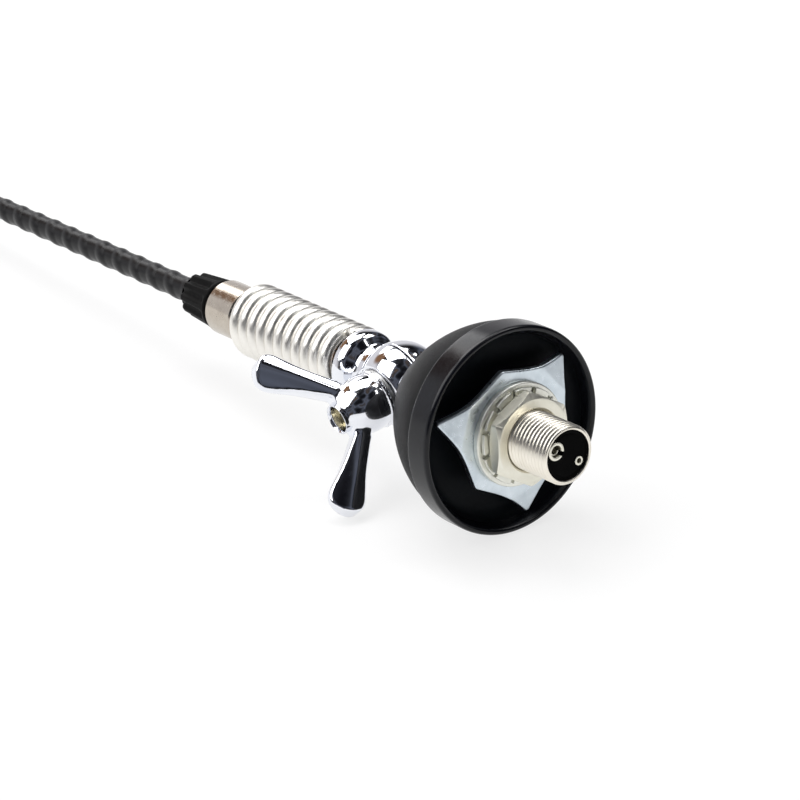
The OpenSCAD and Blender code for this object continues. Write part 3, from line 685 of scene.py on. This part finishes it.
def knob_rows():
    rows = []
    prof = smooth_profile([(2.9, 0.0), (5.0, 0.0), (5.4, 0.45), (4.7, 9.6), (4.0, 10.4), (2.6, 10.4)], 0.35)
    fine = []
    for (r0, z0), (r1, z1) in zip(prof, prof[1:]):
        k = max(1, int(abs(z1 - z0) / 0.3))
        fine += [(r0 + (r1 - r0) * i / k, z0 + (z1 - z0) * i / k) for i in range(k)]
    fine.append(prof[-1])
    a = np.arange(320) / 320 * TAU
    s = (a / TAU * FLUTES) % 1.0 - 0.5
    groove = np.clip(np.cos(s * TAU * 0.5 / 0.36 * 0.5) , 0, 1) * (np.abs(s) < 0.36)
    for r, z in fine:
        depth = 0.72 * min(1.0, max(0.0, (z - 0.9) / 1.0)) * (1.0 if r > 3.9 else 0.0)
        rr = np.minimum(r, np.maximum(r - depth * groove ** 1.2, 0))
        rows.append(np.stack([rr * np.cos(a), rr * np.sin(a), np.full(len(a), KNOB_Z + z)], 1))
    return rows


piece(surface("knob_fluted", knob_rows(), sharp=55, caps=False), KNOB_M, "whip", "knob")

# ---------- whip ----------

def whip_r(z):
    return 2.6 - 0.6 * (z - KNOB_TOP) / 198.0


rows = []
zs = np.arange(KNOB_TOP - 1.2, WHIP_TOP - 1.4, 0.33)
a = np.arange(40) / 40 * TAU
for z in zs:
    fade = min(1.0, max(0.0, (z - KNOB_TOP) / 3.0)) * min(1.0, max(0.0, (WHIP_TOP - 8.0 - z) / 3.0))
    wave = np.cos(a - TAU * z / 6.6)
    r = whip_r(z) + fade * (0.2 * np.maximum(wave, -0.2) ** 1 - 0.05)
    rows.append(np.stack([r * np.cos(a), r * np.sin(a), np.full(len(a), z)], 1))
piece(surface("sleeve_skin", rows), SLEEVE_M, "whip", "whip_sleeve")
r0 = whip_r(WHIP_TOP - 8) + 0.14
prof = [(r0 - 0.05, WHIP_TOP - 8.0), (r0 + 0.35, WHIP_TOP - 8.0), (r0 + 0.5, WHIP_TOP - 7.7), (r0 + 0.5, WHIP_TOP - 1.6),
        (r0 + 0.1, WHIP_TOP - 0.5), (r0 - 0.9, WHIP_TOP - 0.05), (0, WHIP_TOP)]
piece(lathe("cap_end", prof, 64, round_r=0.3, sharp=0), CAP_M, "whip", "whip_cap")

# inner pieces keep their exact shapes
for node, mat in (("feed_rod", BRASS_PAINTED_SHADE), ("ferrule", BRASS_PAINTED_SHADE), ("whip_rod", FIBRE_M), ("whip_winding", COPPER)):
    paint(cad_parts[node], mat)

# ---------- floor that the antenna lies on ----------

bpy.context.view_layer.update()
cloud = []
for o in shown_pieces():
    if o.type == "MESH":
        v = np.empty(len(o.data.vertices) * 3)
        o.data.vertices.foreach_get("co", v)
        m = np.array(o.matrix_world)
        cloud.append(v.reshape(-1, 3) @ m[:3, :3].T + m[:3, 3])
cloud = np.concatenate(cloud)
base_pts = cloud[cloud[:, 2] < 0.043]
base_pts = base_pts[np.abs(base_pts[:, 1]) < 0.0215]
tip_pts = cloud[cloud[:, 2] > 0.2]
wing_pts = cloud[(cloud[:, 1] < -0.0215)]


def plane(phi):
    """Plane that touches the rim and the whip's tip, with its low side towards phi."""
    lo, hi = -0.05, 0.2
    for _ in range(40):
        nz = (lo + hi) / 2
        d = np.array([math.cos(phi), math.sin(phi), nz])
        d /= np.linalg.norm(d)
        if (tip_pts @ d).max() > (base_pts @ d).max():
            hi = nz
        else:
            lo = nz
    return d, (base_pts @ d).max()


lo, hi = math.radians(-180), math.radians(-140)
for _ in range(40):
    phi = (lo + hi) / 2
    d, c = plane(phi)
    if (wing_pts @ d).max() > c:
        hi = phi
    else:
        lo = phi
down, level = plane(phi)
up = -Vector(down)
print("floor normal", up, "phi", math.degrees(phi))

m, t, p = nodes_of("floor_white")
p.inputs["Roughness"].default_value = 0.75
p.inputs["Specular IOR Level"].default_value = 0.25
t.links.new(ramp(t, noise(t, 4, 3), [(0.3, (0.93, 0.93, 0.93)), (0.7, (0.95, 0.95, 0.95))]), p.inputs["Base Color"])
out = t.nodes["Material Output"]
geo = t.nodes.new("ShaderNodeNewGeometry")
tr = t.nodes.new("ShaderNodeBsdfTransparent")
mix = t.nodes.new("ShaderNodeMixShader")
t.links.new(geo.outputs["Backfacing"], mix.inputs["Fac"])
glow = t.nodes.new("ShaderNodeEmission")
glow.inputs["Strength"].default_value = 1.0
glow.inputs["Color"].default_value = (1, 1, 1, 1)
ray = t.nodes.new("ShaderNodeLightPath")
part = t.nodes.new("ShaderNodeMath")
part.operation = "MULTIPLY"
part.inputs[1].default_value = 0.76
seen_by = ray.outputs["Is Camera Ray"]
for kind in ("Is Glossy Ray", "Is Transmission Ray"):
    either = t.nodes.new("ShaderNodeMath")
    either.operation = "MAXIMUM"
    t.links.new(seen_by, either.inputs[0])
    t.links.new(ray.outputs[kind], either.inputs[1])
    seen_by = either.outputs["Value"]
t.links.new(seen_by, part.inputs[0])
seen = t.nodes.new("ShaderNodeMixShader")
t.links.new(part.outputs["Value"], seen.inputs["Fac"])
t.links.new(p.outputs["BSDF"], seen.inputs[1])
t.links.new(glow.outputs["Emission"], seen.inputs[2])
t.links.new(seen.outputs["Shader"], mix.inputs[1])
t.links.new(tr.outputs["BSDF"], mix.inputs[2])
t.links.new(mix.outputs["Shader"], out.inputs["Surface"])
size = 3000.0
fl = make("floor", [(-size, -size, 0), (size, -size, 0), (size, size, 0), (-size, size, 0)], [(0, 1, 2, 3)], 0)
foot = -up * (level + 0.00002)
fl.matrix_world = Matrix.Translation(foot) @ up.to_track_quat("Z", "Y").to_matrix().to_4x4()
paint(fl, m)

# ---------- camera, as fitted to the photograph ----------

cam = bpy.data.cameras.new("camera")
cam.sensor_width = 36.0
cam.lens = 4364.5 / 800 * 36.0
cam.clip_start, cam.clip_end = 0.01, 20
co = bpy.data.objects.new("camera", cam)
right = Vector((-0.1997, 0.7708, -0.6049))
upv = Vector((0.8611, 0.4327, 0.2670))
back = Vector((0.4676, -0.4676, -0.7502))
right.normalize()
back.normalize()
upv = back.cross(right).normalized()
rot = Matrix((right, upv, back)).transposed().to_4x4()
co.matrix_world = Matrix.Translation((0.4023, -0.4069, -0.5985)) @ rot
bpy.context.scene.collection.objects.link(co)
bpy.context.scene.camera = co

# ---------- light ----------

middle = Vector((0, 0, 0.06))


def soft_box(name, direction, width, height, power, colour=(1, 1, 1)):
    """A soft box 1.2 m off, placed by the photograph's right, up and towards-the-camera directions."""
    li = bpy.data.lights.new(name, "AREA")
    li.shape = "RECTANGLE"
    li.size, li.size_y = width, height
    li.energy = power
    li.color = colour
    ob = bpy.data.objects.new(name, li)
    to = (right * direction[0] + upv * direction[1] + back * direction[2]).normalized()
    pos = middle + to * 1.2
    across = to.cross(upv if abs(direction[1]) < 0.9 else back).normalized()
    ob.matrix_world = Matrix.Translation(pos) @ Matrix((across, to.cross(across), to)).transposed().to_4x4()
    ob.visible_camera = False
    bpy.context.scene.collection.objects.link(ob)
    return ob


soft_box("window_left", (-0.70, 0.56, 0.445), 1.0, 0.9, 9.0)
soft_box("window_top", (-0.19, 0.98, 0.04), 0.9, 0.8, 11)
soft_box("window_back", (-0.36, 0.80, -0.48), 0.45, 0.35, 1.4)
soft_box("window_right", (0.50, 0.85, 0.12), 0.5, 0.45, 3.2)
soft_box("strip_right", (0.62, 0.56, 0.55), 0.06, 0.5, 0.5)

w = bpy.data.worlds.new("studio")
bpy.context.scene.world = w
w.use_nodes = True
t = w.node_tree
bg = t.nodes["Background"]
coord = t.nodes.new("ShaderNodeTexCoord")


def along(direction, lo, hi, a, b):
    """A value that runs from a to b as the ray turns towards a direction."""
    d = t.nodes.new("ShaderNodeVectorMath")
    d.operation = "DOT_PRODUCT"
    d.inputs[1].default_value = direction
    t.links.new(coord.outputs["Generated"], d.inputs[0])
    m = t.nodes.new("ShaderNodeMapRange")
    m.interpolation_type = "SMOOTHSTEP"
    for k, v in (("From Min", lo), ("From Max", hi), ("To Min", a), ("To Max", b)):
        m.inputs[k].default_value = v
    t.links.new(d.outputs["Value"], m.inputs["Value"])
    return m.outputs["Result"]


def mul(a, b):
    m = t.nodes.new("ShaderNodeMath")
    m.operation = "MULTIPLY"
    t.links.new(a, m.inputs[0])
    t.links.new(b, m.inputs[1])
    return m.outputs[0]


def blend_colour(fac, a, b):
    m = t.nodes.new("ShaderNodeMix")
    m.data_type = "RGBA"
    for k, v in (("A", a), ("B", b)):
        if isinstance(v, tuple):
            m.inputs[k].default_value = v
        else:
            t.links.new(v, m.inputs[k])
    t.links.new(fac, m.inputs["Factor"])
    return m.outputs["Result"]


# a dark room with dim things in it, and a white backdrop behind and to the left
room = t.nodes.new("ShaderNodeTexNoise")
room.inputs["Scale"].default_value = 2.6
room.inputs["Detail"].default_value = 1.5
room.inputs["Roughness"].default_value = 0.4
t.links.new(coord.outputs["Generated"], room.inputs["Vector"])
dim = ramp(t, room.outputs["Fac"], [(0.36, (0.006, 0.006, 0.008)), (0.46, (0.022, 0.023, 0.027)), (0.55, (0.10, 0.11, 0.14)), (0.62, (0.045, 0.040, 0.040)), (0.72, (0.12, 0.08, 0.055))])
sweep = mul(along((-0.6 * right - 0.8 * back).normalized(), 0.25, 0.6, 0, 1), along(up, 0.4, 0.7, 1, 0))
seen_room = blend_colour(sweep, dim, (0.75, 0.74, 0.76, 1))
warm = along((-0.61 * right + 0.75 * upv - 0.24 * back).normalized(), 0.95, 0.99, 0, 1)
seen_room = blend_colour(warm, seen_room, (0.24, 0.13, 0.07, 1))
t.links.new(seen_room, bg.inputs["Color"])
white = t.nodes.new("ShaderNodeBackground")
white.inputs["Color"].default_value = (1, 1, 1, 1)
white.inputs["Strength"].default_value = 1.0
lp = t.nodes.new("ShaderNodeLightPath")
mx = t.nodes.new("ShaderNodeMixShader")
t.links.new(lp.outputs["Is Camera Ray"], mx.inputs["Fac"])
t.links.new(bg.outputs["Background"], mx.inputs[1])
t.links.new(white.outputs["Background"], mx.inputs[2])
t.links.new(mx.outputs["Shader"], t.nodes["World Output"].inputs["Surface"])

sc = bpy.context.scene
sc.view_settings.view_transform = "Standard"
sc.view_settings.look = "None"
